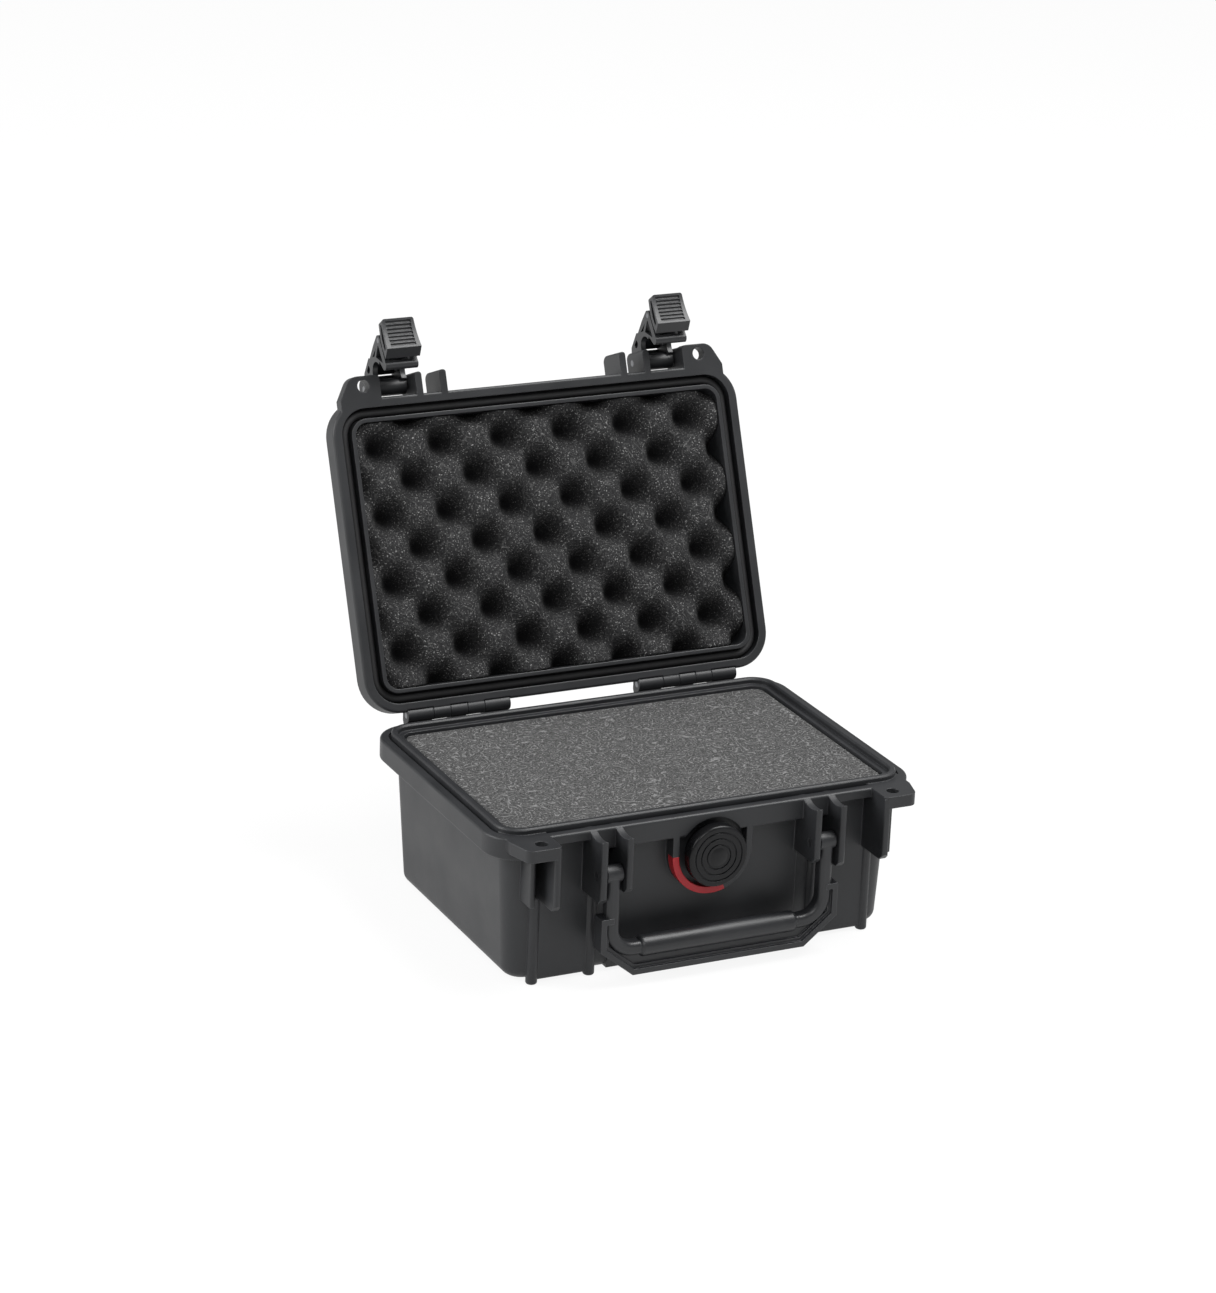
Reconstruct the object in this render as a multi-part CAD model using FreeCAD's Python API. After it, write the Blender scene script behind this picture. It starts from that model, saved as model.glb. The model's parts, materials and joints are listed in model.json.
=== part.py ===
import FreeCAD, Part
import math
import os

# A small hard protective case with a hinged lid, two toggle latches, a carry handle and an air valve.
# Millimetres and degrees. The origin is the middle of the flat underside; X runs to the right,
# Y to the hinges and Z up, so the front with the latches and the handle faces -Y.
# Everything on the lid is drawn in the closed position and then turned open about the hinge.

# Shells
RIM_LENGTH = 206.0
RIM_DEPTH = 144.0
RIM_CORNER = 17.0
RIM_ROUND = 1.2
MOUTH_HEIGHT = 71.6
UNDERSIDE_RISE = 1.6
PLINTH_INSET = 16.0
BASE_RIM_THICK = 10.0
RIM_DECK = 4.0
SKIRT_THICK = 3.0
LID_HEIGHT = 23.0
LID_RIM_THICK = 10.5
LID_TOP_THICK = 3.0
PARTING_GAP = 0.3
WALL_INSET = 7.5
WALL = 3.4
WALL_CORNER = 9.5
DRAFT_ANGLE = 3.0
FRONT_DRAFT_ANGLE = 0.5
FLOOR_THICK = 3.4
EDGE_ROUND = 5.0

# Seal between the shells
TONGUE_INSET = 5.2
TONGUE_WIDTH = 3.0
TONGUE_HEIGHT = 2.6
TONGUE_CORNER = 11.5
TONGUE_SIDE_CLEARANCE = 0.9
TONGUE_CHAMFER = 0.7
DRIP_GROOVE_WIDTH = 1.2
DRIP_GROOVE_DEPTH = 1.2
SEAL_SECTION = 3.6
SEAL_CLEARANCE = 0.2

# Foam
FOAM_CLEARANCE = 0.4
FOAM_BELOW_MOUTH = 1.0
FLOOR_PAD_THICK = 10.0
LID_FOAM_STANDOFF = 0.8
EGG_PITCH = 15.7
EGG_RADIUS = 11.5
EGG_DEPTH = 8.5
EGG_SHIFT_X = -1.5
EGG_SHIFT_Y = -1.8

# Hinges
HINGE_FROM_SIDE = 44.5
HINGE_END_KNUCKLE = 12.6
HINGE_KNUCKLE = 8.2
HINGE_SIDE_GAP = 0.3
HINGE_BARREL_RADIUS = 3.4
HINGE_BARREL_CLEARANCE = 0.4
HINGE_BEHIND_RIM = 1.4
HINGE_ABOVE_MOUTH = 3.3
HINGE_ROOT = 8.0
HINGE_PIN_RADIUS = 1.4
PIN_RUNNING_CLEARANCE = 0.06
PIN_TIGHT_CLEARANCE = 0.02
LID_OPEN_ANGLE = 111.8

# Front plates that carry the latches and the handle
PLATE_THICK = 3.2
PLATE_REACH = 12.5
PLATE_ROUND = 1.4
PLATE_ROUND_SHARE = 0.45
PLATE_BELOW_MOUTH = 30.2
INNER_PLATE_SHORTER = 3.4
PLATE_TOP_GAP = 0.6
PLATE_TOP_DROP = 0.2
PLATE_TOP_DIP = 1.6
LID_PLATE_REACH = 10.0
LID_PLATE_HEIGHT = 19.0
LID_PLATE_CORNER = 3.5
LATCH_FROM_SIDE = 34.6
LATCH_WIDTH = 16.0
LATCH_SIDE_GAP = 0.8
BASE_BAY_WIDER = 1.2
HANDLE_BAY = 9.0
STRIKE_LIP = 4.2
FRONT_STANDOFF = 0.9
PANEL_STANDOFF = 1.2
PANEL_TOE = 1.2
PANEL_INNER_MARGIN = 2.2
FOOT_RADIUS = 2.6
FOOT_ROUND = 1.0

# Padlock lugs
LUG_HOLE_RADIUS = 2.9
LUG_HOLE_FROM_SIDE = 17.6
LUG_HOLE_REACH = 5.8
LUG_ROOT_FROM_SIDE = 5.7
LUG_THICK = 5.5
LUG_INNER_ROUND = 2.0
BASE_LUG_REACH = 12.5
BASE_LUG_CORNER_FROM_SIDE = 9.2
BASE_LUG_ROUND = 4.0
LID_LUG_REACH = 10.4
LID_LUG_CORNER_FROM_SIDE = 11.5
LID_LUG_ROUND = 6.0
LUG_RIB = 2.5
LUG_RIB_OFFSET = 1.6
LUG_RIB_BELOW_MOUTH = 31.0
LUG_RIB_CLEARANCE = 0.4

# Latches, measured from the arm's pivot: "down" along the hanging arm, "in" towards the base
ARM_PIVOT_REACH = 5.0
ARM_PIVOT_HEIGHT = 12.7
ARM_PLATE = 2.5
ARM_BOSS_RADIUS = 4.0
ARM_PIN_RADIUS = 1.5
ARM_FACE = 10.3
ARM_TOP_RISE = 2.5
ARM_TOP_SLOPE = 1.8
ARM_STEP_DOWN = 9.5
ARM_STEP = 1.3
ARM_WEB = 1.8
ARM_WEB_LOW = 18.5
ARM_ARCH_DOWN = 10.7
ARM_ARCH_IN = 0.7
ARM_ARCH_RADIUS = 5.0
ARM_SHOULDER_IN = 0.9
ARM_CROSS_DOWN = 15.2
ARM_CROSS_OUT = 4.2
ARM_STRUT = 0.8
ARM_HOLE_DOWN = 5.0
ARM_HOLE_RADIUS = 1.9
ARM_HOLE_WALL = 0.8
HOOK_DOWN = 19.7
HOOK_IN = 5.9
HOOK_RADIUS = 2.1
LEVER_PIVOT_DOWN = 24.5
LEVER_PIVOT_OUT = 6.0
LEVER_PIN_RADIUS = 1.2
LEVER_BOSS_RADIUS = 2.4
ARM_SWING_ANGLE = 41.0

# Thumb lever as thrown, measured from its own pivot in the same two directions
LEVER_LUG_GAP = 0.3
LEVER_LUG_RADIUS = 2.4
LEVER_TIP_DOWN = 11.4
LEVER_TIP_OUT = 1.8
LEVER_HEEL_DOWN = 7.0
LEVER_HEEL_OUT = 4.2
LEVER_LIP_DOWN = 5.3
LEVER_LIP_IN = 11.4
LEVER_LIP_HEIGHT = 5.4
LEVER_LIP_LEAN = 0.8
LEVER_BELLY_DOWN = 0.9
LEVER_BELLY_IN = 6.5
LEVER_ROOT = 2.4
LEVER_PAD_SAG = 0.8
LEVER_LIP_WIDTH = 17.0
LEVER_TIP_WIDTH = 15.2
LEVER_TIP_ROUND = 1.2
LEVER_SKIN = 2.0
LEVER_POCKET = 2.2
LEVER_STALK_INSET = 1.2
LEVER_GROOVES = 7
LEVER_GROOVE_RADIUS = 0.7
LEVER_GROOVE_MARGIN = 1.8

# Carry handle
HANDLE_BELOW_MOUTH = 18.2
HANDLE_PIVOT_REACH = 7.0
HANDLE_PIN_RADIUS = 1.6
HANDLE_ARM_WIDTH = 6.2
HANDLE_ARM_DEPTH = 7.0
HANDLE_ARM_ROUND = 2.2
HANDLE_BEND = 11.0
HANDLE_EYE_RADIUS = 3.9
HANDLE_EYE_GAP = 0.8
GRIP_RADIUS = 4.7
GRIP_HEIGHT = 17.1
GRIP_FROM_ARM = 13.5
GRIP_SHOULDER = 2.0
FRAME_FLOOR_GAP = 5.4
FRAME_BELOW_PLATES = 7.8
FRAME_SHOULDER = 18.1
FRAME_SIDE_OUT = 1.4
FRAME_CHAMFER = 15.8
FRAME_BAND = 2.6
FRAME_BAND_DEPTH = 7.6
FRAME_WEB = 2.6
FRAME_LEDGE = 1.6
FRAME_LEDGE_DEPTH = 4.8

# Air valve
VALVE_BELOW_MOUTH = 18.8
VALVE_CAP_RADIUS = 14.2
VALVE_CAP_THICK = 5.0
VALVE_CAP_WALL = 1.8
VALVE_CAP_ROUND = 1.2
VALVE_NOTCH_RADIUS = 16.2
VALVE_BOSS_RADIUS = 19.4
VALVE_BOSS_WALL = 3.0
VALVE_FACE_INSET = 4.8
VALVE_RED_START_ANGLE = 180.0
VALVE_RED_END_ANGLE = 290.0
VALVE_STEM_RADIUS = 7.0
VALVE_STEM_CLEARANCE = 0.1
VALVE_FLANGE_RADIUS = 11.8
VALVE_FLANGE_THICK = 8.0
VALVE_GASKET_THICK = 1.0
VALVE_GASKET_WIDTH = 3.4
VALVE_AIR_RADIUS = 2.6
VALVE_MEMBRANE_RADIUS = 5.0
VALVE_MEMBRANE_THICK = 0.8
VALVE_NUT_FLATS = 18.0
VALVE_NUT_THICK = 4.0
VALVE_THREAD_BEYOND_NUT = 1.2
VALVE_RING_GROOVES = 3
VALVE_RING_GROOVE = 0.7
VALVE_RING_FIRST = 6.0
VALVE_RING_STEP = 2.8
VALVE_DOME_RADIUS = 12.8
VALVE_DOME_REACH = 4.2

# Levels and places that follow from the sizes above
DRAFT = math.tan(math.radians(DRAFT_ANGLE))
FRONT_DRAFT = math.tan(math.radians(FRONT_DRAFT_ANGLE))
BASE_RIM_LOW = MOUTH_HEIGHT - BASE_RIM_THICK
LID_LOW = MOUTH_HEIGHT + PARTING_GAP
LID_RIM_HIGH = LID_LOW + LID_RIM_THICK
LID_TOP = MOUTH_HEIGHT + LID_HEIGHT
CAVITY_INSET = WALL_INSET + WALL
CAVITY_CORNER = WALL_CORNER - WALL
CAVITY_LOW = UNDERSIDE_RISE + FLOOR_THICK
RIM_SIDE = RIM_LENGTH / 2
RIM_FRONT = -RIM_DEPTH / 2
RIM_BACK = RIM_DEPTH / 2
HINGE_CENTRE = RIM_SIDE - HINGE_FROM_SIDE
HINGE_Y = RIM_BACK + HINGE_BEHIND_RIM
HINGE_Z = MOUTH_HEIGHT + HINGE_ABOVE_MOUTH
LATCH_CENTRE = RIM_SIDE - LATCH_FROM_SIDE
PLATE_FRONT = RIM_FRONT - PLATE_REACH
PLATE_LOW = MOUTH_HEIGHT - PLATE_BELOW_MOUTH
LID_OUTER_PLATE = LATCH_CENTRE + LATCH_WIDTH / 2 + LATCH_SIDE_GAP
OUTER_PLATE = LID_OUTER_PLATE + BASE_BAY_WIDER
BAY_INNER_SIDE = LATCH_CENTRE - LATCH_WIDTH / 2 - LATCH_SIDE_GAP
MIDDLE_PLATE = BAY_INNER_SIDE - PLATE_THICK
INNER_PLATE = MIDDLE_PLATE - HANDLE_BAY - PLATE_THICK
PANEL_INNER_SIDE = MIDDLE_PLATE - PANEL_INNER_MARGIN
ARM_Y = RIM_FRONT - ARM_PIVOT_REACH
ARM_Z = LID_LOW + ARM_PIVOT_HEIGHT
HANDLE_Y = RIM_FRONT - HANDLE_PIVOT_REACH
HANDLE_ARM = MIDDLE_PLATE - HANDLE_BAY / 2
HANDLE_PIVOT_HEIGHT = MOUTH_HEIGHT - HANDLE_BELOW_MOUTH
GRIP_HALF_LENGTH = HANDLE_ARM - GRIP_FROM_ARM
LUG_HOLE_X = RIM_SIDE - LUG_HOLE_FROM_SIDE
LUG_HOLE_Y = RIM_FRONT - LUG_HOLE_REACH
VALVE_HEIGHT = MOUTH_HEIGHT - VALVE_BELOW_MOUTH
VALVE_LIP_FRONT = RIM_FRONT
VALVE_FACE = RIM_DEPTH / 2 - VALVE_FACE_INSET
X_AXIS = FreeCAD.Vector(1, 0, 0)
Y_AXIS = FreeCAD.Vector(0, 1, 0)
Z_AXIS = FreeCAD.Vector(0, 0, 1)


def point(x, y, z):
    return FreeCAD.Vector(x, y, z)


def box(x_span, y_span, z_span):
    """A block between two values on each axis, given in either order."""
    low = point(min(x_span), min(y_span), min(z_span))
    high = point(max(x_span), max(y_span), max(z_span))
    size = high - low
    return Part.makeBox(size.x, size.y, size.z, low)


def rod_x(x_span, y, z, radius):
    return Part.makeCylinder(radius, abs(x_span[1] - x_span[0]), point(min(x_span), y, z), X_AXIS)


def rod_y(x, y_span, z, radius):
    return Part.makeCylinder(radius, abs(y_span[1] - y_span[0]), point(x, min(y_span), z), Y_AXIS)


def rod_z(x, y, z_span, radius):
    return Part.makeCylinder(radius, abs(z_span[1] - z_span[0]), point(x, y, min(z_span)), Z_AXIS)


def polygon(points, span):
    """A prism of the closed outline through the points, pushed along the span."""
    outline = Part.makePolygon(list(points) + [points[0]])
    return Part.Face(outline).extrude(span)


def chain(points):
    """Straight edges from each point to the next."""
    return [Part.LineSegment(points[i], points[i + 1]).toShape() for i in range(len(points) - 1)]


def mirrored(shape):
    return shape.mirror(point(0, 0, 0), X_AXIS)


def on_both_sides(shape):
    return [shape, mirrored(shape)]


def fuse(shapes):
    return shapes[0].multiFuse(shapes[1:]).removeSplitter()


def edges_at(shape, z):
    """The edges of a shape that lie in the level plane at z."""
    return [edge for edge in shape.Edges
            if all(abs(vertex.Z - z) < 1e-6 for vertex in edge.Vertexes)]


def rim_outline(inset, z, corner, forward=0.0):
    """A rounded rectangle inside the rim's outer edge by the inset, its front side moved forward."""
    half_x = RIM_LENGTH / 2 - inset
    half_y = RIM_DEPTH / 2 - inset
    bow = corner * (1 - math.sqrt(0.5))
    edges = []
    for turn in range(4):
        side_x = 1 if turn in (0, 3) else -1
        side_y = 1 if turn in (0, 1) else -1
        reach = half_y if side_y > 0 else half_y + forward
        on_side = point(side_x * half_x, side_y * (reach - corner), z)
        on_bow = point(side_x * (half_x - bow), side_y * (reach - bow), z)
        on_end = point(side_x * (half_x - corner), side_y * reach, z)
        stops = (on_side, on_bow, on_end) if turn in (0, 2) else (on_end, on_bow, on_side)
        edges.append(Part.Arc(*stops).toShape())
    lines = [Part.LineSegment(edges[i].Vertexes[-1].Point, edges[(i + 1) % 4].Vertexes[0].Point).toShape()
             for i in range(4)]
    return Part.Wire([edge for pair in zip(edges, lines) for edge in pair])


def rim_prism(inset, z_span, corner):
    low, high = min(z_span), max(z_span)
    return Part.Face(rim_outline(inset, low, corner)).extrude(point(0, 0, high - low))


def rim_ring(outer_inset, inner_inset, z_span, corner):
    """A band round the rim between two insets, with the corner radius on its outer side."""
    inner_corner = corner - (inner_inset - outer_inset)
    return rim_prism(outer_inset, z_span, corner).cut(rim_prism(inner_inset, z_span, inner_corner))


def base_outline(z, inset, corner):
    """The base's wall section at a level: it draws in towards the floor, least at the front."""
    drop = MOUTH_HEIGHT - z
    return rim_outline(inset + drop * DRAFT, z, corner, drop * (DRAFT - FRONT_DRAFT))


def lid_outline(z, inset, corner):
    """The lid's wall section at a level: it draws in towards the top."""
    return rim_outline(inset + (z - LID_LOW) * DRAFT, z, corner)


def wall_front(z):
    """Where the base's front wall stands at a level."""
    return RIM_FRONT + WALL_INSET + (MOUTH_HEIGHT - z) * FRONT_DRAFT


def tapered(lower, upper):
    return Part.makeLoft([lower, upper], True, True)


def upright_edges(shape, y):
    """The edges that stand upright in the plane at y."""
    return [edge for edge in shape.Edges
            if all(abs(vertex.Y - y) < 1e-6 for vertex in edge.Vertexes)
            and abs(edge.Vertexes[0].Z - edge.Vertexes[-1].Z) > 1e-6]


def panel_front():
    """Where the panels under the latches stand."""
    return wall_front(UNDERSIDE_RISE) - PANEL_STANDOFF


def plate_round(thick):
    """The rounding of a plate's edge, held to a share of its thickness."""
    return min(PLATE_ROUND, thick * PLATE_ROUND_SHARE)


def front_plate(x_low, z_span, back):
    """An upright plate on the base's front: round front edge, and a hollow curve from its top to the rim."""
    low, high = z_span
    front = PLATE_FRONT
    toe = 2 * PLATE_ROUND

    def at(y, z):
        return point(x_low, y, z)

    brow = at(front, high - PLATE_TOP_DROP)
    dip = at((front + RIM_FRONT) / 2, high - PLATE_TOP_DROP / 2 - PLATE_TOP_DIP)
    root = at(RIM_FRONT, high)
    corners = [root, at(back, high), at(back, low), at(front + toe, low), at(front, low + toe), brow]
    edges = chain(corners) + [Part.Arc(brow, dip, root).toShape()]
    plate = Part.Face(Part.Wire(edges)).extrude(point(PLATE_THICK, 0, 0))
    return plate.makeFillet(plate_round(PLATE_THICK), upright_edges(plate, front))


def lid_plate(x_low):
    """An upright plate on the lid's front, with a rounded corner towards the lid's top."""
    front = RIM_FRONT - LID_PLATE_REACH
    back = RIM_FRONT + WALL_INSET + WALL / 2
    high = LID_LOW + LID_PLATE_HEIGHT
    bow = LID_PLATE_CORNER * (1 - math.sqrt(0.5))

    def at(y, z):
        return point(x_low, y, z)

    turn = [at(front, high - LID_PLATE_CORNER), at(front + bow, high - bow),
            at(front + LID_PLATE_CORNER, high)]
    corners = [turn[2], at(back, high), at(back, LID_LOW), at(front, LID_LOW), turn[0]]
    edges = chain(corners) + [Part.Arc(*turn).toShape()]
    plate = Part.Face(Part.Wire(edges)).extrude(point(PLATE_THICK, 0, 0))
    rounded = [edge for edge in plate.Edges
               if all(vertex.Y < turn[2].y + 1e-6 for vertex in edge.Vertexes)
               and abs(edge.Vertexes[0].X - edge.Vertexes[-1].X) < 1e-6]
    return plate.makeFillet(plate_round(PLATE_THICK), rounded)


def padlock_lug(z_span, inner, reach, corner_from_side, corner_round):
    """A rounded tab in front of the rim's corner with an upright padlock hole."""
    low, high = min(z_span), max(z_span)
    front = RIM_FRONT - reach
    back = RIM_FRONT + RIM_CORNER
    corner = RIM_SIDE - corner_from_side
    root = RIM_SIDE - LUG_ROOT_FROM_SIDE
    tab = polygon([point(inner, back, low), point(inner, front, low), point(corner, front, low),
                   point(root, RIM_FRONT, low), point(root, back, low)], point(0, 0, high - low))
    for x, radius in ((corner, corner_round), (inner, LUG_INNER_ROUND)):
        tab = tab.makeFillet(radius, [edge for edge in tab.Edges
                                      if all(abs(vertex.X - x) < 1e-6 and abs(vertex.Y - front) < 1e-6
                                             for vertex in edge.Vertexes)])
    tab = tab.cut(rim_prism(CAVITY_INSET, z_span, CAVITY_CORNER))
    return tab.cut(rod_z(LUG_HOLE_X, LUG_HOLE_Y, z_span, LUG_HOLE_RADIUS))


def knuckle_spans():
    """The X spans of one hinge's five knuckles, end, three short ones and end."""
    lengths = [HINGE_END_KNUCKLE] + 3 * [HINGE_KNUCKLE] + [HINGE_END_KNUCKLE]
    total = sum(lengths) + HINGE_SIDE_GAP * (len(lengths) - 1)
    start = HINGE_CENTRE - total / 2
    spans = []
    for length in lengths:
        spans.append((start, start + length))
        start += length + HINGE_SIDE_GAP
    return spans


def hinge_reliefs(spans):
    """Clear spaces in one shell for the other shell's knuckles."""
    radius = HINGE_BARREL_RADIUS + HINGE_BARREL_CLEARANCE
    reliefs = []
    for low, high in spans:
        span = (low - HINGE_SIDE_GAP, high + HINGE_SIDE_GAP)
        reliefs += on_both_sides(rod_x(span, HINGE_Y, HINGE_Z, radius))
    return reliefs


def base_knuckle(span):
    barrel = rod_x(span, HINGE_Y, HINGE_Z, HINGE_BARREL_RADIUS)
    far = HINGE_Y + HINGE_BARREL_RADIUS
    low = MOUTH_HEIGHT - HINGE_ROOT
    inner = RIM_BACK - SKIRT_THICK / 2
    root = polygon([point(span[0], inner, low), point(span[0], RIM_BACK, low),
                    point(span[0], far, MOUTH_HEIGHT), point(span[0], inner, MOUTH_HEIGHT)],
                   point(span[1] - span[0], 0, 0))
    riser = box(span, (RIM_BACK + PARTING_GAP, far), (MOUTH_HEIGHT, HINGE_Z))
    return fuse([barrel, root, riser])


def lid_knuckle(span):
    barrel = rod_x(span, HINGE_Y, HINGE_Z, HINGE_BARREL_RADIUS)
    inner = RIM_BACK - SKIRT_THICK / 2
    high = LID_RIM_HIGH - RIM_ROUND
    web = polygon([point(span[0], inner, HINGE_Z), point(span[0], HINGE_Y + HINGE_BARREL_RADIUS, HINGE_Z),
                   point(span[0], RIM_BACK, high), point(span[0], inner, high)],
                  point(span[1] - span[0], 0, 0))
    return fuse([barrel, web])


def hinge_bore(clearance):
    spans = knuckle_spans()
    return rod_x((spans[0][0], spans[-1][1]), HINGE_Y, HINGE_Z, HINGE_PIN_RADIUS + clearance)


def latch_panel():
    """The flat panel under a latch, which runs up behind it to the strike lip, and its two feet."""
    front = panel_front()
    back = wall_front(UNDERSIDE_RISE) + EDGE_ROUND
    sides = (PANEL_INNER_SIDE, OUTER_PLATE + PLATE_THICK)
    panel = box(sides, (front, back), (UNDERSIDE_RISE, PLATE_LOW))
    panel = panel.makeFillet(PANEL_TOE, [edge for edge in edges_at(panel, UNDERSIDE_RISE)
                                         if edge.CenterOfMass.y < front + 1e-6])
    upper = box((BAY_INNER_SIDE, OUTER_PLATE), (front, back), (PLATE_LOW, MOUTH_HEIGHT - STRIKE_LIP))
    pieces = [panel, upper]
    for x in sides:
        foot = rod_z(x, front + FOOT_RADIUS / 2, (0, PLATE_LOW), FOOT_RADIUS)
        pieces.append(foot.makeFillet(FOOT_ROUND, [edge for edge in foot.Edges if edge.isClosed()]))
    return pieces


def base_front():
    """The right-hand half of what stands on the base's front: latch panel, plates and lug."""
    lug_low = MOUTH_HEIGHT - LUG_THICK
    plate_top = MOUTH_HEIGHT - PLATE_TOP_GAP
    back = wall_front(PLATE_LOW) + WALL / 2
    pieces = latch_panel()
    pieces.append(padlock_lug((lug_low, MOUTH_HEIGHT), OUTER_PLATE, BASE_LUG_REACH, BASE_LUG_CORNER_FROM_SIDE,
                              BASE_LUG_ROUND))
    pieces.append(front_plate(INNER_PLATE, (PLATE_LOW + INNER_PLATE_SHORTER, plate_top), back))
    for x_low in (MIDDLE_PLATE, OUTER_PLATE):
        pieces.append(front_plate(x_low, (PLATE_LOW, plate_top), back))
    rib_x = LUG_HOLE_X + LUG_RIB_OFFSET - LUG_RIB / 2
    rib_front = LUG_HOLE_Y + LUG_HOLE_RADIUS + LUG_RIB_CLEARANCE
    rib_low = MOUTH_HEIGHT - LUG_RIB_BELOW_MOUTH
    rib = box((rib_x, rib_x + LUG_RIB), (rib_front, back), (rib_low, lug_low + LUG_THICK / 2))
    pieces.append(rib.makeFillet(plate_round(LUG_RIB), upright_edges(rib, rib_front)))
    return pieces


def front_wall():
    """The middle of the front wall stands a little further out between the handle's plates."""
    half = INNER_PLATE + PLATE_THICK / 2
    inside = WALL / 2
    low = UNDERSIDE_RISE
    toe = UNDERSIDE_RISE + EDGE_ROUND
    high = MOUTH_HEIGHT - RIM_DECK
    outline = [point(-half, wall_front(low) + EDGE_ROUND, low), point(-half, wall_front(toe), low),
               point(-half, wall_front(toe) - FRONT_STANDOFF, toe),
               point(-half, wall_front(BASE_RIM_LOW) - FRONT_STANDOFF, high),
               point(-half, wall_front(BASE_RIM_LOW) + inside, high)]
    return polygon(outline, point(2 * half, 0, 0))


def valve_lip():
    """The raised ring round the valve's seat."""
    span = (VALVE_LIP_FRONT, -VALVE_FACE)
    return valve_rod(span, VALVE_BOSS_RADIUS).cut(valve_rod(span, VALVE_BOSS_RADIUS - VALVE_BOSS_WALL))


def red_sector():
    """A wedge of space about the valve's axis that holds the red part of its lip."""
    reach = 2 * VALVE_BOSS_RADIUS
    steps = 4
    stride = (VALVE_RED_END_ANGLE - VALVE_RED_START_ANGLE) / steps
    corners = [point(0, VALVE_LIP_FRONT, VALVE_HEIGHT)]
    for step in range(steps + 1):
        turn = math.radians(VALVE_RED_START_ANGLE + stride * step)
        corners.append(point(reach * math.cos(turn), VALVE_LIP_FRONT, VALVE_HEIGHT + reach * math.sin(turn)))
    return polygon(corners, point(0, -VALVE_FACE - VALVE_LIP_FRONT, 0))


def valve_boss():
    """The flat seat on the front wall and the lip that runs up from it into the rim."""
    back = wall_front(VALVE_HEIGHT) + WALL / 2
    top = MOUTH_HEIGHT - RIM_DECK
    low = VALVE_HEIGHT - VALVE_BOSS_RADIUS
    sides = (-VALVE_BOSS_RADIUS, VALVE_BOSS_RADIUS)
    seat = valve_rod((-VALVE_FACE, back), VALVE_BOSS_RADIUS)
    seat = seat.common(box(sides, (-VALVE_FACE, back), (low, top)))
    outer = box(sides, (VALVE_LIP_FRONT, back), (VALVE_HEIGHT, top))
    inner_half = VALVE_BOSS_RADIUS - VALVE_BOSS_WALL
    slot = box((-inner_half, inner_half), (VALVE_LIP_FRONT, -VALVE_FACE), (VALVE_HEIGHT, MOUTH_HEIGHT))
    lower = box(sides, (VALVE_LIP_FRONT, -VALVE_FACE), (low, VALVE_HEIGHT))
    return fuse([seat, outer.cut(slot), valve_lip().common(lower).cut(red_sector())])


def base_shell():
    body = tapered(base_outline(UNDERSIDE_RISE, WALL_INSET, WALL_CORNER),
                   base_outline(BASE_RIM_LOW, WALL_INSET, WALL_CORNER))
    body = body.makeFillet(EDGE_ROUND, edges_at(body, UNDERSIDE_RISE))
    plinth_inset = WALL_INSET + MOUTH_HEIGHT * DRAFT + PLINTH_INSET
    plinth = rim_prism(plinth_inset, (0, UNDERSIDE_RISE + FLOOR_THICK / 2), WALL_CORNER)
    rim = rim_prism(0, (BASE_RIM_LOW, MOUTH_HEIGHT), RIM_CORNER)
    rim = rim.makeFillet(RIM_ROUND, edges_at(rim, BASE_RIM_LOW) + edges_at(rim, MOUTH_HEIGHT))
    rim = rim.cut(rim_ring(SKIRT_THICK, WALL_INSET + SKIRT_THICK / 2, (BASE_RIM_LOW, MOUTH_HEIGHT - RIM_DECK),
                           RIM_CORNER - SKIRT_THICK))
    tongue_span = (MOUTH_HEIGHT, MOUTH_HEIGHT + TONGUE_HEIGHT)
    tongue = rim_ring(TONGUE_INSET, TONGUE_INSET + TONGUE_WIDTH, tongue_span, TONGUE_CORNER)
    groove = rim_ring(TONGUE_INSET - DRIP_GROOVE_WIDTH, TONGUE_INSET,
                      (MOUTH_HEIGHT - DRIP_GROOVE_DEPTH, MOUTH_HEIGHT), TONGUE_CORNER + DRIP_GROOVE_WIDTH)
    tongue = tongue.makeChamfer(TONGUE_CHAMFER, edges_at(tongue, tongue_span[1]))
    rim = rim.cut(Part.makeCompound([groove] + hinge_reliefs(knuckle_spans()[1::2])))
    pieces = [body, plinth, rim, tongue, front_wall(), valve_boss()]
    for piece in base_front():
        pieces += on_both_sides(piece)
    for span in knuckle_spans()[0::2]:
        pieces += on_both_sides(base_knuckle(span))
    shell = fuse(pieces)
    shell = shell.cut(base_cavity())
    return shell.cut(Part.makeCompound(base_cuts()))


def base_cavity(clearance=0.0, z_span=(CAVITY_LOW, MOUTH_HEIGHT)):
    """The space inside the base, or a block that fits in it with a clearance all round."""
    low, high = z_span
    inset = CAVITY_INSET + clearance
    corner = CAVITY_CORNER
    return tapered(base_outline(low, inset, corner), base_outline(high, inset, corner))


def base_cuts():
    """Latch bays under the strike lip, the notch and bore of the valve, and the pin holes."""
    cuts = []
    bay = box((BAY_INNER_SIDE, OUTER_PLATE), (PLATE_FRONT, panel_front()),
              (PLATE_LOW, MOUTH_HEIGHT - STRIKE_LIP))
    cuts += on_both_sides(bay)
    cuts.append(valve_rod((PLATE_FRONT, -VALVE_FACE), VALVE_NOTCH_RADIUS))
    cuts.append(valve_rod((PLATE_FRONT, 0), VALVE_STEM_RADIUS + VALVE_STEM_CLEARANCE))
    pin = rod_x((INNER_PLATE, MIDDLE_PLATE + PLATE_THICK), HANDLE_Y, HANDLE_PIVOT_HEIGHT,
                HANDLE_PIN_RADIUS + PIN_TIGHT_CLEARANCE)
    cuts += on_both_sides(pin)
    cuts += on_both_sides(hinge_bore(PIN_TIGHT_CLEARANCE))
    return cuts


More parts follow.
